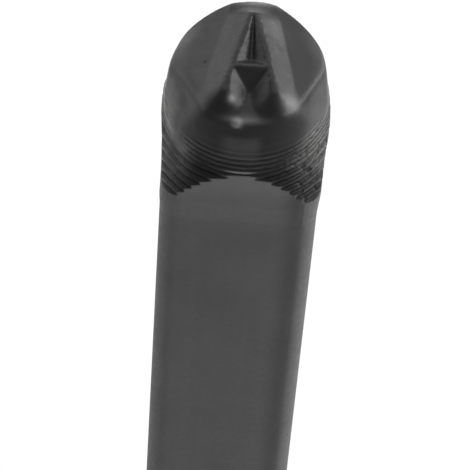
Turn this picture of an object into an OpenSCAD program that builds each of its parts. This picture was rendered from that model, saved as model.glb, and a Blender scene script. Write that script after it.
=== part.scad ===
// Steel letter punch: one bar of blackened steel, struck on its lower end, with a raised letter on top.
// The bar stands on its striking face. Z runs up the bar, and the foot of the letter faces -Y.

/* [Shank] */
// Distance across the flats of the square shank
shank_w = 9.5; // [8:0.1:12]
// Radius of the shank's four long corners
shank_corner_r = 1.2; // [0.6:0.1:1.4]
// Length from the striking face to the top of the letter
overall_length = 65; // [50:1:90]

/* [Striking end] */
// Diameter of the flat face that the hammer meets
strike_face_d = 8.4; // [7:0.1:9]
// Height of the turned bevel round the striking face
strike_bevel_h = 1.6; // [0.8:0.1:2.5]

/* [Turned head] */
// Diameter of the head at the rim of its face
rim_d = 9.32; // [9:0.02:9.5]
// Diameter of the neck where the flare starts
neck_d = 10.14; // [9.8:0.02:10.2]
// Length of the neck, from the rim down to the flare
neck_length = 4.5; // [4:0.1:5.5]
// Angle of the flare from the bar's axis
flare_angle = 27; // [22:1:36]
// How far each flat swells outwards under the head
head_swell = 0.31; // [0.2:0.01:0.4]
// Length of shank over which the flats swell
swell_length = 5; // [4:0.5:12]

/* [Tool marks] */
// Feed of the turning tool, from one ring to the next
ring_pitch = 0.43; // [0.35:0.01:0.6]
// Depth of the groove at the root of each full ring
ring_depth = 0.05; // [0.02:0.01:0.08]
// Distance from the rim down to the first ring
ring_start = 2; // [1.6:0.1:3.4]
// Number of rings over which the grooves grow to their full depth
ring_growth = 5; // [1:1:6]

/* [Letter] */
// Height of the letter, from its feet to its apex
letter_h = 6.0; // [4:0.1:6.2]
// Distance between the middles of the two feet
letter_w = 3.0; // [2:0.1:3.4]
// Distance between the middles of the strokes at the apex
apex_w = 0.5; // [0.4:0.1:0.7]
// Width of the narrow flat on top of each stroke
stroke_w = 0.2; // [0.2:0.05:0.4]
// Height of the crossbar above the feet
crossbar_h = 1.95; // [1.5:0.05:2.6]
// Height of the letter above the face
relief = 1.05; // [0.8:0.05:1.4]
// Angle of the letter's flanks from the bar's axis
flank_angle = 51; // [42:1:54]
// How far the letter sits to the right of the bar's axis
letter_offset = 0.12; // [-0.3:0.02:0.3]

/* [Ground face] */
// Slope of the facet on the left of the letter
left_facet_angle = 24; // [10:1:30]
// Slope of the facet on the right of the letter
right_facet_angle = 22; // [10:1:30]
// How far the facets start below the face
facet_drop = 0.02; // [0:0.02:0.2]
// Distance from the bar's axis to the flat on the left of the neck, at the rim's level
left_flat_reach = 3.74; // [3.5:0.02:4.3]
// Distance from the bar's axis to the flat on the right of the neck, at the rim's level
right_flat_reach = 3.98; // [3.5:0.02:4.3]
// Lean of both flats from the bar's axis
flat_lean = 18; // [15:1:30]
// Direction of the left flat, turned from the front towards the left
left_flat_turn = 69; // [50:1:80]
// Direction of the right flat, turned from the front towards the right
right_flat_turn = 72; // [50:1:80]

/* [Hidden] */
$fn = 96;

steel = [0.17, 0.17, 0.18];

half_w = shank_w / 2;
corner_centre = half_w - shank_corner_r;
corner_reach = corner_centre * sqrt(2) + shank_corner_r + head_swell;
face_z = overall_length - relief;
flare_z = face_z - neck_length;
clear = 2;
cut = 20;

// The swell rises in a straight line from the shank, and is at its full size at the top of the flare
swell_z = flare_z - swell_length;
swell_end_z = overall_length + clear;
full_swell = head_swell * (swell_end_z - swell_z) / swell_length;

// Turned outline
rim_r = rim_d / 2;
neck_r = neck_d / 2;
ring_shoulder = ring_pitch / 4;
ring_zone = neck_length + (corner_reach - neck_r) / tan(flare_angle) - ring_start;
ring_count = ceil(ring_zone / ring_pitch) + 1;

// Radius of the head at a depth under the rim: a slow taper, then the flare
function head_radius(depth) =
    rim_r + (neck_r - rim_r) * min(depth / neck_length, 1)
    + max(depth - neck_length, 0) * tan(flare_angle);

// One ring runs from its crest down to its root groove, and out along the next shoulder
function ring_depth_at(i) = ring_start + i * ring_pitch;
function ring_groove(i) = ring_depth * min((i + 1) / ring_growth, 1);
function ring_points(i) =
    let (top = ring_depth_at(i), bottom = ring_depth_at(i + 1))
    [
        [head_radius(top), face_z - top],
        [head_radius(top) - ring_groove(i), face_z - bottom + ring_shoulder]
    ];

function reverse_pair(pair) = [pair[1], pair[0]];

module turned_outline() {
    polygon(concat(
        [[0, 0], [strike_face_d / 2, 0], [corner_reach, strike_bevel_h]],
        [[corner_reach + clear, strike_bevel_h + clear]],
        [[corner_reach + clear, face_z - ring_depth_at(ring_count)]],
        [for (i = [ring_count - 1 : -1 : 0]) each reverse_pair(ring_points(i))],
        [[rim_r, face_z], [rim_r, overall_length + clear], [0, overall_length + clear]]
    ));
}

module turned_form() {
    rotate_extrude() turned_outline();
}

// Square bar with round corners, which swell with its flats under the head
module swelled_slab() {
    rotate([90, 0, 0])
        linear_extrude(2 * corner_centre, center = true)
            polygon([
                [-half_w, 0], [half_w, 0], [half_w, swell_z], [half_w + full_swell, swell_end_z],
                [-half_w - full_swell, swell_end_z], [-half_w, swell_z]
            ]);
}

module corner_post() {
    translate([corner_centre, corner_centre, 0]) {
        cylinder(r = shank_corner_r, h = swell_z);
        translate([0, 0, swell_z])
            cylinder(r1 = shank_corner_r, r2 = shank_corner_r + full_swell, h = swell_end_z - swell_z);
    }
}

module square_bar() {
    swelled_slab();
    rotate([0, 0, 90]) swelled_slab();
    for (quarter = [0 : 3])
        rotate([0, 0, quarter * 90]) corner_post();
}

// The letter is made of ridges, each with a narrow flat top and two sloping flanks
flank_depth = relief + clear;
flank_run = flank_depth * tan(flank_angle);

module ridge(from, to) {
    run = to - from;
    translate([from[0], from[1], overall_length - flank_depth])
        rotate([0, 0, atan2(run[1], run[0])])
            rotate([90, 0, 90])
                linear_extrude(norm(run))
                    polygon([
                        [-stroke_w / 2 - flank_run, 0], [stroke_w / 2 + flank_run, 0],
                        [stroke_w / 2, flank_depth], [-stroke_w / 2, flank_depth]
                    ]);
}

// The flanks go round the end of a ridge as a cone
module ridge_end(place) {
    translate([place[0], place[1], overall_length - flank_depth])
        cylinder(r1 = stroke_w / 2 + flank_run, r2 = stroke_w / 2, h = flank_depth);
}

// Places of the letter A on the face, through the middle of its strokes
end_y = letter_h / 2 - stroke_w / 2;
foot_x = letter_w / 2;
apex_x = apex_w / 2;
bar_share = (crossbar_h - stroke_w / 2) / (2 * end_y);
bar_x = foot_x + (apex_x - foot_x) * bar_share;
bar_y = -end_y + 2 * end_y * bar_share;

module letter() {
    translate([letter_offset, 0, 0]) {
        for (side = [-1, 1]) {
            ridge([side * foot_x, -end_y], [side * apex_x, end_y]);
            ridge_end([side * foot_x, -end_y]);
            ridge_end([side * apex_x, end_y]);
        }
        ridge([-apex_x, end_y], [apex_x, end_y]);
        ridge([-bar_x, bar_y], [bar_x, bar_y]);
    }
}

// Everything under the face, with a sloping facet ground on each side of the letter
foot_line_x = foot_x + stroke_w / 2 + relief * tan(flank_angle);
stroke_lean = atan((foot_x - apex_x) / (2 * end_y));

module facet_cut(side, slope) {
    translate([letter_offset + side * foot_line_x, -end_y, face_z - facet_drop])
        rotate([0, 0, side * stroke_lean])
            rotate([0, side * slope, 0])
                translate([side * cut / 2, 0, cut / 2])
                    cube([cut, cut * 2, cut], center = true);
}

module under_face() {
    difference() {
        translate([-cut / 2, -cut / 2, 0]) cube([cut, cut, face_z]);
        facet_cut(-1, left_facet_angle);
        facet_cut(1, right_facet_angle);
    }
}

// A flat ground on the shoulder of the neck, which runs out above the flare
module shoulder_cut(turn, reach) {
    rotate([0, 0, turn])
        translate([0, -reach, face_z])
            rotate([-flat_lean, 0, 0])
                translate([-cut / 2, -cut, -neck_length])
                    cube([cut, cut, cut]);
}

module letter_punch() {
    color(steel)
        difference() {
            intersection() {
                square_bar();
                turned_form();
                union() {
                    under_face();
                    letter();
                }
            }
            shoulder_cut(-left_flat_turn, left_flat_reach);
            shoulder_cut(right_flat_turn, right_flat_reach);
        }
}

letter_punch();
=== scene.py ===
# Steel letter punch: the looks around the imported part
import math
import bpy
import numpy as np
from mathutils import Matrix, Vector, noise


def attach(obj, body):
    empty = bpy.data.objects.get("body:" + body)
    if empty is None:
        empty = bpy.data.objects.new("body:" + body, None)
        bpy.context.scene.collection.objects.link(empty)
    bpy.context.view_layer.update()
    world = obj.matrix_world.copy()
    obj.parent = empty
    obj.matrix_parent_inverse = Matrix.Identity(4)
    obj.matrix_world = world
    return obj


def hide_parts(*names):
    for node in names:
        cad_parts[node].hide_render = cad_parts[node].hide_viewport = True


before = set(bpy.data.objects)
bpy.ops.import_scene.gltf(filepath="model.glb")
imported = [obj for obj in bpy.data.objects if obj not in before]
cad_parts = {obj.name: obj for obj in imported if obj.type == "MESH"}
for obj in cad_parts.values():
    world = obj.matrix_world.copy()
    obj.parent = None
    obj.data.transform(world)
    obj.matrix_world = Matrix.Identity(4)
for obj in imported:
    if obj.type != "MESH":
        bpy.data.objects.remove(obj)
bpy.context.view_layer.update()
print("frame loaded")


# camera, at the photograph's angle

cameraValues = {
    "azimuth": -1.25635, "elevation": 54.07, "roll": 4.70136,
    "aimHeight": 0.06355, "distance": 0.1898512,
    "aimRight": 0.00080146, "aimUp": 0.00998524,
    "lens": 245.106,
}


def placeCamera(v):
    a, e, r = (math.radians(v[name]) for name in ("azimuth", "elevation", "roll"))
    back = Vector((math.sin(a) * math.cos(e), -math.cos(a) * math.cos(e), math.sin(e)))
    right = Vector((math.cos(a), math.sin(a), 0))
    up = back.cross(right)
    tiltedRight = math.cos(r) * right + math.sin(r) * up
    tiltedUp = math.cos(r) * up - math.sin(r) * right
    place = Vector((0, 0, v["aimHeight"])) + back * v["distance"]
    place -= tiltedRight * v["aimRight"] + tiltedUp * v["aimUp"]
    camera = bpy.data.objects.new("camera", bpy.data.cameras.new("camera"))
    camera.data.lens = v["lens"]
    camera.data.sensor_width = 36
    camera.data.clip_start, camera.data.clip_end = 0.005, 5
    turn = Matrix((tiltedRight, tiltedUp, back)).transposed()
    camera.matrix_world = Matrix.Translation(place) @ turn.to_4x4()
    bpy.context.scene.collection.objects.link(camera)
    bpy.context.scene.camera = camera


placeCamera(cameraValues)
print("camera placed")


# small helpers

def deselectAll():
    if bpy.context.object and bpy.context.object.mode != "OBJECT":
        bpy.ops.object.mode_set(mode="OBJECT")
    bpy.ops.object.select_all(action="DESELECT")


def pick(piece):
    deselectAll()
    piece.select_set(True)
    bpy.context.view_layer.objects.active = piece


def selectAbove(piece, height):
    bpy.ops.object.mode_set(mode="EDIT")
    bpy.ops.mesh.select_mode(type="VERT")
    bpy.ops.mesh.select_all(action="DESELECT")
    bpy.ops.object.mode_set(mode="OBJECT")
    for vert in piece.data.vertices:
        vert.select = vert.co.z > height
    bpy.ops.object.mode_set(mode="EDIT")


def applyModifier(piece, kind, **settings):
    modifier = piece.modifiers.new(kind.lower(), kind)
    for name, value in settings.items():
        setattr(modifier, name, value)
    bpy.ops.object.modifier_apply(modifier=modifier.name)


def smoothStep(low, high, x):
    t = np.clip((x - low) / (high - low), 0, 1)
    return t * t * (3 - 2 * t)


def readPoints(mesh, name="co"):
    flat = np.zeros(len(mesh.vertices) * 3, np.float32)
    mesh.vertices.foreach_get(name, flat)
    return flat.reshape(-1, 3).astype(np.float64)


def cloud(points, size, seed, where):
    # smooth noise from -1 to 1 at the points picked by where, with features of that size
    shift = Vector((seed * 13.7, seed * 7.3, seed * 3.1))
    values = np.zeros(len(points))
    values[where] = [noise.noise(Vector(p) / size + shift) for p in points[where]]
    return values


# the punch's mesh, worked on in millimetres with its plain shank cut short

punchValues = {
    "shankMiddle": 30.0,      # above this the mesh moves down while the steel is worked
    "dropMm": 49.0,
    "voxelMm": 0.056,
    "cutZ": 3.6,              # where the cut-short shank is opened to grow back
    "trisMost": 186000,
    "relaxTimes": 90,
    "faceZ": 63.95, "neckLength": 4.5, "ringStart": 2.0, "ringPitch": 0.43,
    "flatHalf": 4.75, "cornerCentre": 3.55, "swell": 0.31, "swellLength": 5.0,
    "grooveMm": 0.035,        # extra depth of the grooves between the rings
    "pitMm": 0.04,
    "shankWide": 0.075,       # added on each side of the plain shank
}


def flatReach(z, v):
    # half the width across the flats at a height
    rise = (z - (v["faceZ"] - v["neckLength"] - v["swellLength"])) / v["swellLength"]
    return v["flatHalf"] + v["swell"] * np.clip(rise, 0, None)


def underBar(x, y, z, v):
    # how far a point lies inside the bar's own surface: 0 on a flat or a long corner
    overX = abs(x) - v["cornerCentre"]
    overY = abs(y) - v["cornerCentre"]
    radius = flatReach(z, v) - v["cornerCentre"]
    onCorner = (overX > 0) & (overY > 0)
    return radius - np.where(onCorner, np.hypot(overX, overY), np.maximum(overX, overY))


def workedMesh(v):
    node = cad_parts["letter_punch"]
    piece = bpy.data.objects.new("punchSteel", node.data.copy())
    bpy.context.scene.collection.objects.link(piece)
    piece.data.materials.clear()
    pick(piece)
    bpy.ops.object.mode_set(mode="EDIT")
    bpy.ops.mesh.select_all(action="SELECT")
    bpy.ops.mesh.remove_doubles(threshold=1e-6)
    bpy.ops.transform.resize(value=(1000, 1000, 1000), center_override=(0, 0, 0))
    selectAbove(piece, v["shankMiddle"])
    bpy.ops.transform.translate(value=(0, 0, -v["dropMm"]))
    bpy.ops.object.mode_set(mode="OBJECT")
    applyModifier(piece, "REMESH", mode="VOXEL", voxel_size=v["voxelMm"], use_smooth_shade=True)
    applyModifier(piece, "SMOOTH", factor=0.5, iterations=3)
    print("remeshed, faces:", len(piece.data.polygons))
    return piece


def meshEdges(mesh):
    pairs = np.zeros(len(mesh.edges) * 2, np.int32)
    mesh.edges.foreach_get("vertices", pairs)
    return pairs.reshape(-1, 2).T


def relax(points, pairs, weight, times):
    # moves each point towards the middle of its neighbours
    near = (weight[pairs[0]] > 0.001) | (weight[pairs[1]] > 0.001)
    used, local = np.unique(pairs[:, near], return_inverse=True)
    a, b = local.reshape(2, -1)
    size = len(used)
    count = np.maximum(np.bincount(a, minlength=size) + np.bincount(b, minlength=size), 1)[:, None]
    moving = points[used]
    share = weight[used][:, None]
    for _ in range(times):
        total = np.empty_like(moving)
        for axis in range(3):
            total[:, axis] = np.bincount(a, moving[b, axis], size)
            total[:, axis] += np.bincount(b, moving[a, axis], size)
        moving = moving + share * (total / count - moving)
    relaxed = points.copy()
    relaxed[used] = moving
    return relaxed


def nearPlace(points, place, size):
    return np.exp(-((points - np.array(place)) ** 2).sum(1) / size ** 2)


# small lumps of raised steel, in millimetres on the punch: place, size, height and how bare or bright they are; the
# ones with no height are only colour, painted highlights on the feet and the top of the right flank and a paler spot
# on the left foot
lumpValues = {
    "rimBurr": ((-0.52, -4.62, 63.92), 0.28, 0.14, 1.0),
    "rimBurrSmall": ((-0.78, -4.6, 63.9), 0.13, 0.05, 0.4),
    "apexDot": ((0.02, 3.12, 64.86), 0.1, 0.05, 1.0),
    # the next four have no height and are only colour: painted highlights on the feet and the right flank, and a paler
    # spot on the left foot
    "leftFootHighlight": ((-0.92, -3.25, 64.5), 0.24, 0.0, 0.75),
    "leftFootPaler": ((-2.75, -3.15, 64.1), 0.5, 0.0, 0.12),
    "rightFootHighlight": ((2.62, -3.1, 64.2), 0.62, 0.0, 0.5),
    "rightBandTopSheen": ((1.3, 2.4, 64.4), 0.8, 0.0, 0.2),
}


def outOfRound(points, v):
    # the head isn't quite round, and the plain shank is a hair wider: each push is in millimetres
    x, y, z = points.T
    depth = v["faceZ"] - z
    radius = np.maximum(np.hypot(x, y), 1)
    right, left = smoothStep(2, 4.8, x), smoothStep(3.0, 4.4, -x)
    push = np.zeros_like(points)
    push[:, 0] += 0.12 * right * smoothStep(1.5, 3.5, depth) * smoothStep(8.0, 6.0, depth) * smoothStep(-2.6, -0.8, y)
    push[:, 0] += 0.12 * left * smoothStep(3.0, 5.0, depth) * smoothStep(9.0, 7.0, depth) * smoothStep(0, -2.5, y)
    push[:, 0] += 0.12 * left * smoothStep(1.6, 0.9, depth) * smoothStep(3.5, 1.5, y)
    turn = np.degrees(np.arctan2(y, x))
    outward = smoothStep(3.6, 4.5, radius) * smoothStep(2.6, 1.2, depth)
    outward *= smoothStep(5, 25, turn) * smoothStep(165, 140, turn) * (0.085 - 0.035 * smoothStep(80, 110, turn))
    outward += 0.09 * np.exp(-((turn - 78) / 16) ** 2) * smoothStep(3.6, 4.5, radius) * smoothStep(2.6, 1.2, depth)
    outward += v["shankWide"] * smoothStep(57.5, 56.0, z)
    push[:, :2] += points[:, :2] * (outward / radius)[:, None]
    return push


def smoothCheek(points):
    # the left front of the flare, where the rings are rubbed almost away
    rubbed = nearPlace(points, (-3.9, -3.1, 59.8), 1.4) + nearPlace(points, (-4.3, -2.1, 61.0), 1.1)
    return 1 - 0.8 * np.clip(rubbed, 0, 1)


def shapeSteel(piece, v):
    mesh = piece.data
    points = readPoints(mesh)
    normals = readPoints(mesh, "normal")
    raised = points.copy()
    raised[:, 2] += np.where(points[:, 2] > v["cutZ"], v["dropMm"], 0)
    x, y, z = raised.T
    depth = v["faceZ"] - z
    radius = np.hypot(x, y)
    turned = smoothStep(0.02, 0.06, underBar(x, y, z, v))
    turned *= smoothStep(1.8, 2.4, depth) * (depth < 9.5) * (radius > 4)
    everywhere = points[:, 2] > v["cutZ"]

    # deeper, uneven grooves between the rings
    phase = ((depth - v["ringStart"]) / v["ringPitch"]) % 1
    groove = np.exp(-((phase - 0.75) / 0.13) ** 2)
    uneven = 0.75 + 0.5 * cloud(np.stack([x, y, z * 6], 1), 1.6, 1, turned > 0)
    grow = smoothStep(2.0, 4.4, depth)
    push = -v["grooveMm"] * groove * turned * grow * uneven * smoothCheek(raised)

    # torn steel in the rings, most of it on the right
    torn = turned * smoothStep(2.2, 3.6, depth) * (0.3 + 0.7 * smoothStep(0.3, 0.75, x / np.maximum(radius, 0.1)))
    pits = cloud(np.stack([x, y, z * 2.2], 1), 0.34, 5, torn > 0.01)
    push -= v["pitMm"] * torn * smoothStep(0.05, 0.5, pits)

    # faint waves of handling all over, and a rough crest on the letter
    push += 0.006 * cloud(raised, 0.9, 2, everywhere)
    crest = smoothStep(64.75, 64.95, z)
    push += crest * 0.035 * cloud(raised, 0.22, 3, crest > 0)
    raised += normals * push[:, None]

    # the strokes close towards the apex
    fromMiddle = x - 0.12
    closing = smoothStep(-1.5, 2.9, y) * smoothStep(63.9, 64.8, z) * (1 - smoothStep(0.4, 1.4, abs(fromMiddle)))
    raised[:, 0] -= 0.09 * closing * np.clip(fromMiddle / 0.25, -1, 1)

    raised += outOfRound(raised, v)

    # edges worn round: most at the feet and where the face runs over into the neck
    soft = np.full(len(raised), 0.05)
    soft += 0.7 * smoothStep(-1.9, -2.9, y) * smoothStep(3.0, 1.0, depth)
    soft += 0.7 * nearPlace(raised, (2.6, -3.1, 63.9), 1.0)
    soft += 0.8 * smoothStep(-2.6, -3.2, x) * smoothStep(3.2, 1.8, depth) * smoothStep(2.5, 0.5, y)
    soft += 0.5 * smoothStep(-0.2, -1.4, y) * smoothStep(-1.7, -2.3, x) * (depth < 1.2)
    soft += 0.8 * smoothStep(2.6, 3.2, x) * smoothStep(2.5, 1.5, depth) * smoothStep(2.5, 0.5, y)
    sliver = np.exp(-((raised - np.array((-0.3, -4.4, 63.95))) ** 2 / np.array((1.6, 0.45, 0.4)) ** 2).sum(1))
    soft = np.clip(soft * (1 - 0.9 * sliver), 0, 0.8)
    soft *= smoothStep(3.4, 2.0, depth)
    soft = np.maximum(soft, 0.6 * smoothStep(0.5, 0.9, 1 - smoothCheek(raised)) * (turned > 0.9))
    soft = np.maximum(soft, 0.7 * nearPlace(raised, (-4.4, -2.2, 61.8), 1.3) * (turned > 0.9))
    raised = relax(raised, meshEdges(mesh), soft, v["relaxTimes"])
    for place, size, height, bareAndHighlight in lumpValues.values():
        raised += normals * (height * nearPlace(raised, place, size))[:, None]
    raised[:, 2] -= np.where(points[:, 2] > v["cutZ"], v["dropMm"], 0)
    mesh.vertices.foreach_set("co", raised.astype(np.float32).ravel())
    mesh.update()


punch = workedMesh(punchValues)
shapeSteel(punch, punchValues)


def finishMesh(piece, v):
    faces = len(piece.data.polygons) * 2
    pick(piece)
    if faces > v["trisMost"]:
        applyModifier(piece, "DECIMATE", ratio=v["trisMost"] / faces)
    # the plain shank grows back to its length from a cut straight across
    bpy.ops.object.mode_set(mode="EDIT")
    bpy.ops.mesh.select_all(action="SELECT")
    bpy.ops.mesh.bisect(plane_co=(0, 0, v["cutZ"]), plane_no=(0, 0, 1))
    selectAbove(piece, v["cutZ"] - 0.0005)
    bpy.ops.mesh.extrude_region_move(TRANSFORM_OT_translate={"value": (0, 0, v["dropMm"])})
    bpy.ops.mesh.select_all(action="SELECT")
    bpy.ops.transform.resize(value=(0.001, 0.001, 0.001), center_override=(0, 0, 0))
    bpy.ops.object.mode_set(mode="OBJECT")
    bpy.ops.object.shade_smooth()
    print("punch finished, faces:", len(piece.data.polygons))


finishMesh(punch, punchValues)


# masks on the points: turned or ground steel, the lighter sides, grooves, bare steel with painted highlights, painted
# light and shade on the front, the rim and the flat, and outer edges

def outerEdges(mesh, points, normals):
    a, b = meshEdges(mesh)
    way = points[b] - points[a]
    way /= np.linalg.norm(way, axis=1)[:, None] + 1e-9
    bend = np.bincount(a, -(normals[a] * way).sum(1), len(points))
    bend += np.bincount(b, (normals[b] * way).sum(1), len(points))
    return bend / np.maximum(np.bincount(a, minlength=len(points)) + np.bincount(b, minlength=len(points)), 1)


def paintMasks(piece, v):
    mesh = piece.data
    points = readPoints(mesh) * 1000
    points -= outOfRound(points, v)
    normals = readPoints(mesh, "normal")
    x, y, z = points.T
    depth = v["faceZ"] - z
    radius = np.maximum(np.hypot(x, y), 0.1)
    masks = {}
    turned = smoothStep(0.02, 0.06, underBar(x, y, z, v)) * (z > 54.5)
    masks["turned"] = turned
    phase = ((depth - v["ringStart"]) / v["ringPitch"]) % 1
    rings = turned * smoothStep(1.8, 4.0, depth)
    # the sides of the head lighter: worn steel, and painted light on the sides that face the lamps
    side = smoothStep(0.6 - 0.12 * rings, 0.93 - 0.12 * rings, abs(x) / radius) * smoothStep(3.6, 4.6, radius)
    masks["sideWearAndSheen"] = turned * side * np.where(x > 0, 0.3 + 0.6 * rings, 0.8 + 0.2 * rings)
    # darker grooves between the rings: grime, and painted shade in the recesses
    groove = rings * np.exp(-((phase - 0.72) / 0.2) ** 2)
    fine = np.exp(-((((depth - 2.3) / 0.25) % 1 - 0.5) / 0.2) ** 2) * smoothStep(2.1, 2.6, depth)
    fine *= smoothStep(3.5, 3.1, depth) * smoothStep(-3.0, -4.2, y)
    masks["groove"] = np.maximum(groove, 0.7 * fine) * smoothCheek(points)
    torn = rings * (0.25 + 0.75 * smoothStep(0.35, 0.75, x / radius))
    pits = cloud(np.stack([x, y, z * 2.2], 1), 0.34, 5, torn > 0.01)
    masks["torn"] = torn * smoothStep(0.12, 0.4, pits)
    masks["crest"] = smoothStep(64.7, 64.9, z)
    front = smoothStep(-2.8, -3.4, y) * turned
    # painted light: a lighter patch on the front of the neck
    patch = front * smoothStep(1.45, 0.65, abs(x + 0.17)) * smoothStep(1.0, 1.6, depth) * smoothStep(3.7, 2.7, depth)
    masks["frontLitPatch"] = patch
    # painted shade: the front under the rim and the feet of the letter darkened
    paintedShade = front * smoothStep(0.1, 0.5, depth) * (1 - patch)
    for foot in ((-1.55, -3.65, 64.3), (1.6, -3.65, 64.3)):
        paintedShade = np.maximum(paintedShade, nearPlace(points, foot, 0.7))
    masks["paintedShade"] = paintedShade
    # painted highlights on the rim: a faint sliver at the front and a bright strip along the back
    nearSliver = ((points - np.array((-0.2, -4.45, 63.95))) / np.array((1.5, 0.4, 0.16))) ** 2
    nearBack = ((points - np.array((0.5, 4.62, 63.85))) / np.array((1.5, 0.34, 0.3))) ** 2
    masks["rimHighlight"] = 0.25 * np.exp(-nearSliver.sum(1)) + np.exp(-nearBack.sum(1))
    # painted shade: a darker band on the front flat beside the right corner
    masks["flatEdgeShade"] = smoothStep(2.3, 3.5, x) * smoothStep(0.45, 0.2, abs(normals[:, 0])) * (y < -4.2) * (1 - turned)
    # the rounded corners of the flats a little lighter
    masks["cornerPaler"] = smoothStep(0.3, 0.62, np.minimum(abs(normals[:, 0]), abs(normals[:, 1]))) * (z > 1.7) * (1 - turned)
    # painted highlight: a bright crescent on the last ring above the arch; with it go the bare burrs and apex dot and
    # the painted highlights of the lumps
    glint = np.exp(-((depth - 4.25) / 0.08) ** 2) * smoothStep(1.2, 0.3, abs(x + 0.1)) * (y < -3)
    bareAndHighlight = glint
    for place, size, height, amount in lumpValues.values():
        bareAndHighlight = np.maximum(bareAndHighlight, amount * nearPlace(points, place, size))
    masks["bareAndHighlight"] = bareAndHighlight
    masks["outerEdge"] = smoothStep(0.02, 0.12, outerEdges(mesh, points, normals)) * turned
    for name, values in masks.items():
        mask = mesh.attributes.new(name, "FLOAT", "POINT")
        mask.data.foreach_set("value", values.astype(np.float32))
    print("masks painted, edge share:", round(float(masks["outerEdge"].mean()), 3))


paintMasks(punch, punchValues)
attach(punch, "root")
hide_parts("letter_punch")


# material

# a mask that breaks up in patches, shared by the wear, the pits, the specks and the painted light and shade

def makePatchGroup():
    group = bpy.data.node_groups.new("patchyMask", "ShaderNodeTree")
    group.interface.new_socket("Place", in_out="INPUT", socket_type="NodeSocketVector")
    for name in ("Mask", "Scale", "Cover", "Softness"):
        group.interface.new_socket(name, in_out="INPUT", socket_type="NodeSocketFloat")
    group.interface.new_socket("Result", in_out="OUTPUT", socket_type="NodeSocketFloat")
    nodes, links = group.nodes, group.links
    given = nodes.new("NodeGroupInput").outputs
    patches = nodes.new("ShaderNodeTexNoise")
    patches.inputs["Detail"].default_value = 3
    links.new(given["Place"], patches.inputs["Vector"])
    links.new(given["Scale"], patches.inputs["Scale"])
    edge = nodes.new("ShaderNodeMath")
    edge.operation = "SUBTRACT"
    edge.inputs[0].default_value = 1
    links.new(given["Cover"], edge.inputs[1])
    high = nodes.new("ShaderNodeMath")
    high.operation = "ADD"
    links.new(edge.outputs[0], high.inputs[0])
    links.new(given["Softness"], high.inputs[1])
    fade = nodes.new("ShaderNodeMapRange")
    links.new(patches.outputs["Fac"], fade.inputs["Value"])
    links.new(edge.outputs[0], fade.inputs["From Min"])
    links.new(high.outputs[0], fade.inputs["From Max"])
    both = nodes.new("ShaderNodeMath")
    both.operation = "MULTIPLY"
    links.new(fade.outputs["Result"], both.inputs[0])
    links.new(given["Mask"], both.inputs[1])
    links.new(both.outputs[0], nodes.new("NodeGroupOutput").inputs["Result"])
    return group


steelValues = {
    "turnedColour": (0.011, 0.011, 0.0115, 1),
    "flatColour": (0.072, 0.072, 0.0735, 1),
    # painted light: the flats lighter towards the head
    "flatTopLitColour": (0.108, 0.108, 0.109, 1),
    "turnedRough": 0.3, "flatRough": 0.5,
    "specular": 0.13,
    # colour over the steel: mask, colour, amount, patch scale, cover, softness
    "layers": {
        # painted shade: a darker band on the front flat beside the right corner
        "flatEdgeShade": ((0.05, 0.05, 0.051, 1), 0.9, 200, 0.9, 0.3),
        # the rounded corners of the flats a little lighter
        "cornerPaler": ((0.085, 0.085, 0.086, 1), 0.8, 200, 0.85, 0.3),
        # painted shade on the front under the rim and at the letter's feet
        "paintedShade": ((0.004, 0.004, 0.004, 1), 0.85, 300, 0.85, 0.3),
        # painted light: a lighter patch on the front of the neck
        "frontLitPatch": ((0.04, 0.04, 0.04, 1), 0.85, 300, 0.85, 0.3),
        # the sides of the head lighter: worn steel, and painted light on the sides that face the lamps
        "sideWearAndSheen": ((0.13, 0.129, 0.127, 1), 0.95, 300, 0.7, 0.3),
        # painted highlights on the rim: a faint sliver at the front and a bright strip along the back
        "rimHighlight": ((0.25, 0.25, 0.25, 1), 0.9, 300, 0.85, 0.3),
        "outerEdge": ((0.08, 0.079, 0.078, 1), 0.12, 900, 0.62, 0.2),
        # darker grooves between the rings: grime, and painted shade in the recesses
        "groove": ((0.005, 0.005, 0.005, 1), 0.9, 700, 0.7, 0.15),
        "torn": ((0.004, 0.004, 0.004, 1), 0.9, 900, 0.72, 0.2),
        "crest": ((0.006, 0.006, 0.006, 1), 0.75, 2200, 0.6, 0.1),
        "turned": ((0.13, 0.13, 0.13, 1), 0.35, 1500, 0.24, 0.05),
        # bare steel on the burrs and the apex dot, and painted highlights: the crescent above the arch and spots on
        # the feet and the right flank
        "bareAndHighlight": ((0.2, 0.2, 0.2, 1), 0.95, 1400, 0.8, 0.2),
    },
    "mottleScale": 260, "grainScale": 2500, "grainBump": 0.25,
}


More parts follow.
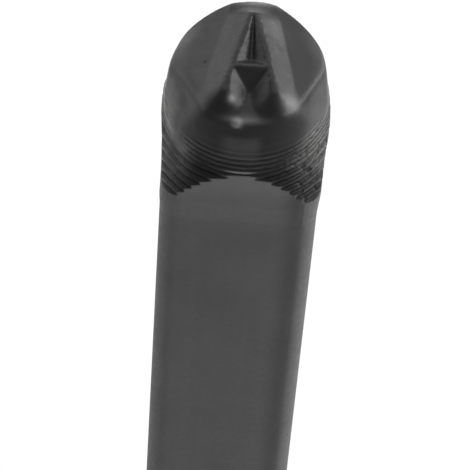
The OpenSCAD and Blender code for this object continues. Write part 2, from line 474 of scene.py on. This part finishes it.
def makeSteel(v, patchGroup):
    steel = bpy.data.materials.new("blackenedSteel")
    steel.use_nodes = True
    nodes, links = steel.node_tree.nodes, steel.node_tree.links
    shader = nodes["Principled BSDF"]
    shader.inputs["Specular IOR Level"].default_value = v["specular"]
    place = nodes.new("ShaderNodeTexCoord").outputs["Object"]

    def mask(name):
        node = nodes.new("ShaderNodeAttribute")
        node.attribute_name = name
        return node.outputs["Fac"]

    def noiseAt(scale, detail):
        node = nodes.new("ShaderNodeTexNoise")
        node.inputs["Scale"].default_value = scale
        node.inputs["Detail"].default_value = detail
        links.new(place, node.inputs["Vector"])
        return node.outputs["Fac"]

    def ramp(value, low, high, toLow, toHigh):
        node = nodes.new("ShaderNodeMapRange")
        for name, number in (("From Min", low), ("From Max", high), ("To Min", toLow), ("To Max", toHigh)):
            node.inputs[name].default_value = number
        links.new(value, node.inputs["Value"])
        return node.outputs["Result"]

    def mixColour(under, over, amount):
        node = nodes.new("ShaderNodeMixRGB")
        for socket, value in zip(node.inputs[1:], (under, over)):
            if isinstance(value, tuple):
                socket.default_value = value
            else:
                links.new(value, socket)
        links.new(amount, node.inputs["Fac"])
        return node.outputs["Color"]

    height = nodes.new("ShaderNodeSeparateXYZ")
    links.new(place, height.inputs[0])
    # painted light: the flats turn lighter over the 5 mm below the head
    nearHead = ramp(height.outputs["Z"], 0.0535, 0.0585, 0, 1)
    colour = mixColour(v["flatColour"], v["flatTopLitColour"], nearHead)
    colour = mixColour(colour, v["turnedColour"], mask("turned"))
    for name, (over, amount, scale, cover, softness) in v["layers"].items():
        patch = nodes.new("ShaderNodeGroup")
        patch.node_tree = patchGroup
        links.new(place, patch.inputs["Place"])
        links.new(mask(name), patch.inputs["Mask"])
        for socket, value in (("Scale", scale), ("Cover", cover), ("Softness", softness)):
            patch.inputs[socket].default_value = value
        part = ramp(patch.outputs["Result"], 0, 1, 0, amount)
        colour = mixColour(colour, over, part)
    mottle = nodes.new("ShaderNodeVectorMath")
    mottle.operation = "SCALE"
    links.new(colour, mottle.inputs[0])
    links.new(ramp(noiseAt(v["mottleScale"], 4), 0.25, 0.75, 0.92, 1.08), mottle.inputs["Scale"])
    links.new(mottle.outputs["Vector"], shader.inputs["Base Color"])

    grain = noiseAt(v["grainScale"], 2)
    rough = ramp(mask("turned"), 0, 1, v["flatRough"], v["turnedRough"])
    uneven = nodes.new("ShaderNodeMath")
    uneven.operation = "MULTIPLY"
    links.new(rough, uneven.inputs[0])
    links.new(ramp(grain, 0.3, 0.8, 0.9, 1.3), uneven.inputs[1])
    links.new(uneven.outputs[0], shader.inputs["Roughness"])

    bump = nodes.new("ShaderNodeBump")
    bump.inputs["Strength"].default_value = v["grainBump"]
    bump.inputs["Distance"].default_value = 0.00002
    links.new(grain, bump.inputs["Height"])
    links.new(bump.outputs["Normal"], shader.inputs["Normal"])
    return steel


punch.data.materials.append(makeSteel(steelValues, makePatchGroup()))


# floor, white surroundings and lamps

studioValues = {
    "floorSize": 3.0, "floorColour": (0.82, 0.82, 0.82, 1), "floorGlow": 0.8,
    "worldLight": 0.15,
}
# each softbox: direction from the punch's face, distance, width, height and brightness
softboxValues = {
    "keySoftbox": ((0.915, 0.05, 0.40), 0.38, 0.55, 0.15, 10.2),
    "backRightSoftbox": ((0.68, 0.73, 0.04), 0.4, 0.1, 0.1, 4.3),
    "leftSoftbox": ((-0.885, 0.42, 0.20), 0.4, 0.56, 0.3, 1.9),
    "backSoftbox": ((0.0, 0.70, 0.72), 0.4, 0.6, 0.45, 2.05),
}


def whiteWhereSeen(nodes, links):
    # 1 for camera, glossy and transmission rays, 0 for the light on the object
    path = nodes.new("ShaderNodeLightPath")
    seen = path.outputs["Is Camera Ray"]
    for ray in ("Is Glossy Ray", "Is Transmission Ray"):
        either = nodes.new("ShaderNodeMath")
        either.operation = "MAXIMUM"
        links.new(seen, either.inputs[0])
        links.new(path.outputs[ray], either.inputs[1])
        seen = either.outputs[0]
    return seen


def makeStudio(v):
    deselectAll()
    bpy.ops.mesh.primitive_plane_add(size=v["floorSize"], location=(0, 0, 0))
    floor = bpy.context.object
    floor.name = "floor"
    paper = bpy.data.materials.new("palePaper")
    paper.use_nodes = True
    nodes, links = paper.node_tree.nodes, paper.node_tree.links
    shader = nodes["Principled BSDF"]
    shader.inputs["Base Color"].default_value = v["floorColour"]
    shader.inputs["Roughness"].default_value = 0.9
    glow = nodes.new("ShaderNodeEmission")
    mix = nodes.new("ShaderNodeMixShader")
    share = nodes.new("ShaderNodeMath")
    share.operation = "MULTIPLY"
    share.inputs[1].default_value = v["floorGlow"]
    links.new(whiteWhereSeen(nodes, links), share.inputs[0])
    links.new(share.outputs[0], mix.inputs[0])
    links.new(shader.outputs[0], mix.inputs[1])
    links.new(glow.outputs[0], mix.inputs[2])
    links.new(mix.outputs[0], nodes["Material Output"].inputs["Surface"])
    floor.data.materials.append(paper)

    world = bpy.data.worlds.new("studio")
    bpy.context.scene.world = world
    world.use_nodes = True
    nodes, links = world.node_tree.nodes, world.node_tree.links
    strength = nodes.new("ShaderNodeMapRange")
    strength.inputs["To Min"].default_value = v["worldLight"]
    strength.inputs["To Max"].default_value = 1.0
    links.new(whiteWhereSeen(nodes, links), strength.inputs["Value"])
    links.new(strength.outputs["Result"], nodes["Background"].inputs["Strength"])
    nodes["Background"].inputs["Color"].default_value = (1, 1, 1, 1)


def addSoftbox(name, way, distance, width, height, brightness):
    face = Vector((0, 0, 0.064))
    place = face + Vector(way).normalized() * distance
    bpy.ops.object.light_add(type="AREA", location=place)
    lamp = bpy.context.object
    lamp.name = name
    lamp.data.shape = "RECTANGLE"
    lamp.data.size, lamp.data.size_y = width, height
    lamp.data.energy = brightness * math.pi * width * height
    lamp.rotation_euler = (face - place).to_track_quat("-Z", "Y").to_euler()


makeStudio(studioValues)
for name, values in softboxValues.items():
    addSoftbox(name, *values)
print("studio ready")

bpy.context.scene.view_settings.view_transform = "Standard"
